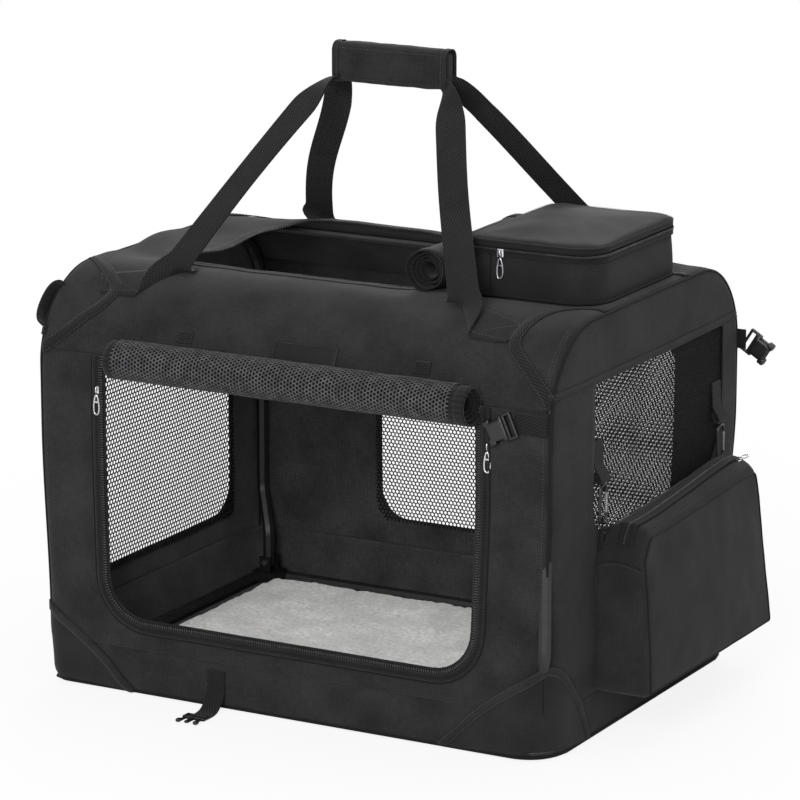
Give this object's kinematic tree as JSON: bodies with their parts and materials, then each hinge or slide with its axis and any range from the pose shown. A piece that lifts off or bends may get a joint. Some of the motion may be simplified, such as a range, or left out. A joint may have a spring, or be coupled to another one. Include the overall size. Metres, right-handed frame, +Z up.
{
  "type": "soft folding dog crate",
  "caption": "Soft-sided folding pet crate: cloth walls on a hinged tube frame, mesh windows, rolled doors, zipped pockets and a webbing carry handle.",
  "frame": {"origin": "middle of the flat underside of the base tray", "axes": "+Z up; -Y is the front with the large doorway; +X is the side with the pouch"},
  "size_m": [0.7889, 0.6129, 0.792],
  "materials": {
    "steel_tube": "satin powder coat",
    "oxford_cloth": "plain weave, matt",
    "mesh_cloth": "open mesh, matt",
    "webbing": "woven webbing",
    "moulded_plastic": "moulded, satin",
    "zip_metal": "bright",
    "fleece": "long soft pile",
    "stiff_board": "matt"
  },
  "bodies": {
    "root": {"base_tray": "oxford_cloth", "base_frame": "steel_tube", "base_board": "stiff_board", "fleece_mat": "fleece", "front_wall": "oxford_cloth", "back_wall": "oxford_cloth", "back_window": "mesh_cloth", "doorway_zip_tape": "mesh_cloth", "bottom_buckle_strap": "webbing", "left_front_hinge": "moulded_plastic", "left_front_hinge_pin": "steel_tube", "left_back_hinge": "moulded_plastic", "left_back_hinge_pin": "steel_tube", "right_front_hinge": "moulded_plastic", "right_front_hinge_pin": "steel_tube", "right_back_hinge": "moulded_plastic", "right_back_hinge_pin": "steel_tube"},
    "left_frame": {"left_frame": "steel_tube", "left_wall": "oxford_cloth", "left_window": "mesh_cloth"},
    "right_frame": {"right_frame": "steel_tube", "right_wall": "oxford_cloth", "right_window": "mesh_cloth", "front_pouch_tab": "webbing", "rear_pouch_tab": "webbing", "front_pouch_hook": "moulded_plastic", "rear_pouch_hook": "moulded_plastic"},
    "front_gate": {"front_hook_gate": "steel_tube"},
    "rear_gate": {"rear_hook_gate": "steel_tube"},
    "pouch": {"side_pouch": "oxford_cloth", "front_pouch_ring": "moulded_plastic", "rear_pouch_ring": "moulded_plastic"},
    "top": {"top_panel": "oxford_cloth", "front_rod": "steel_tube", "back_rod": "steel_tube", "front_door_roll": "mesh_cloth", "top_door_roll": "oxford_cloth", "left_tie_tab": "webbing", "right_tie_tab": "webbing", "blank_label": "webbing", "pocket_body": "oxford_cloth", "front_handle_strap": "webbing", "back_handle_strap": "webbing", "left_loop": "webbing", "front_buckle_strap": "webbing", "back_buckle_strap": "webbing"},
    "grip": {"handle_grip": "oxford_cloth"},
    "pocket_lid": {"pocket_lid": "oxford_cloth"},
    "front_buckle": {"front_buckle": "moulded_plastic"},
    "back_buckle": {"back_buckle": "moulded_plastic"},
    "bottom_buckle": {"bottom_buckle": "moulded_plastic"},
    "doorway_left_slider": {"doorway_left_slider": "zip_metal"},
    "doorway_left_pull": {"doorway_left_pull": "zip_metal"},
    "doorway_right_slider": {"doorway_right_slider": "zip_metal"},
    "doorway_right_pull": {"doorway_right_pull": "zip_metal"},
    "pocket_slider": {"pocket_slider": "zip_metal"},
    "pocket_pull": {"pocket_pull": "zip_metal"},
    "pouch_slider": {"pouch_slider": "zip_metal"},
    "pouch_pull": {"pouch_pull": "zip_metal"}
  },
  "joints": [
    {"name": "left_frame_fold", "type": "hinge", "parent": "root", "child": "left_frame", "pos_m": [-0.3179, 0, 0.036], "axis": [0, 1, 0], "range_deg": [0, 90]},
    {"name": "right_frame_fold", "type": "hinge", "parent": "root", "child": "right_frame", "pos_m": [0.3179, 0, 0.06], "axis": [0, -1, 0], "range_deg": [0, 90]},
    {"name": "top_lower", "type": "slide", "parent": "root", "child": "top", "axis": [0, 0, -1], "range_m": [0, 0.325], "deforming": ["front_wall", "back_wall", "back_window", "doorway_zip_tape", "top_panel"]},
    {"name": "handle_lower", "type": "slide", "parent": "top", "child": "grip", "axis": [0, 0, 1], "range_m": [-0.16, 0], "deforming": ["front_handle_strap", "back_handle_strap"]},
    {"name": "pocket_lid_open", "type": "hinge", "parent": "top", "child": "pocket_lid", "pos_m": [0.331, 0, 0.5749], "axis": [0, -1, 0], "range_deg": [-100, 0]},
    {"name": "pocket_zip", "type": "slide", "parent": "top", "child": "pocket_slider", "axis": [-1, 0, 0], "range_m": [-0.09, 0]},
    {"name": "pocket_pull_swing", "type": "hinge", "parent": "pocket_slider", "child": "pocket_pull", "pos_m": [0.206, -0.113, 0.563], "axis": [1, 0, 0], "range_deg": [-90, 0]},
    {"name": "doorway_left_zip", "type": "slide", "parent": "top", "child": "doorway_left_slider", "axis": [0, 0, 1], "range_m": [-0.25, 0]},
    {"name": "doorway_left_pull_swing", "type": "hinge", "parent": "doorway_left_slider", "child": "doorway_left_pull", "pos_m": [-0.2695, -0.2645, 0.3782], "axis": [1, 0, 0], "range_deg": [-90, 0]},
    {"name": "doorway_right_zip", "type": "slide", "parent": "top", "child": "doorway_right_slider", "axis": [0, 0, 1], "range_m": [-0.25, 0]},
    {"name": "doorway_right_pull_swing", "type": "hinge", "parent": "doorway_right_slider", "child": "doorway_right_pull", "pos_m": [0.2695, -0.2645, 0.3742], "axis": [1, 0, 0], "range_deg": [-90, 0]},
    {"name": "pouch_zip", "type": "slide", "parent": "pouch", "child": "pouch_slider", "axis": [0, 1, 0], "range_m": [-0.3, 0]},
    {"name": "pouch_pull_swing", "type": "hinge", "parent": "pouch_slider", "child": "pouch_pull", "pos_m": [0.3866, 0.1963, 0.253], "axis": [-1, 0, 0], "range_deg": [-90, 0]},
    {"name": "pouch_swing", "type": "hinge", "parent": "right_frame", "child": "pouch", "pos_m": [0.3585, 0, 0.27], "axis": [0, 1, 0], "range_deg": [-35, 0]},
    {"name": "front_gate_open", "type": "hinge", "parent": "right_frame", "child": "front_gate", "pos_m": [0.3585, -0.1295, 0.3059], "axis": [1, 0, 0], "range_deg": [-25, 0], "stiffness_Nm_per_rad": 0.02},
    {"name": "rear_gate_open", "type": "hinge", "parent": "right_frame", "child": "rear_gate", "pos_m": [0.3585, 0.2015, 0.3059], "axis": [1, 0, 0], "range_deg": [-25, 0], "stiffness_Nm_per_rad": 0.02},
    {"name": "front_buckle_swing", "type": "hinge", "parent": "top", "child": "front_buckle", "pos_m": [0.3037, -0.2713, 0.4115], "axis": [0, 0, -1], "range_deg": [-90, 0]},
    {"name": "back_buckle_swing", "type": "hinge", "parent": "top", "child": "back_buckle", "pos_m": [0.3603, 0.2713, 0.411], "axis": [0, 0, -1], "range_deg": [-90, 0]},
    {"name": "bottom_buckle_lift", "type": "hinge", "parent": "root", "child": "bottom_buckle", "pos_m": [-0.104, -0.3036, 0.0055], "axis": [1, 0, 0], "range_deg": [-90, 0]}
  ]
}
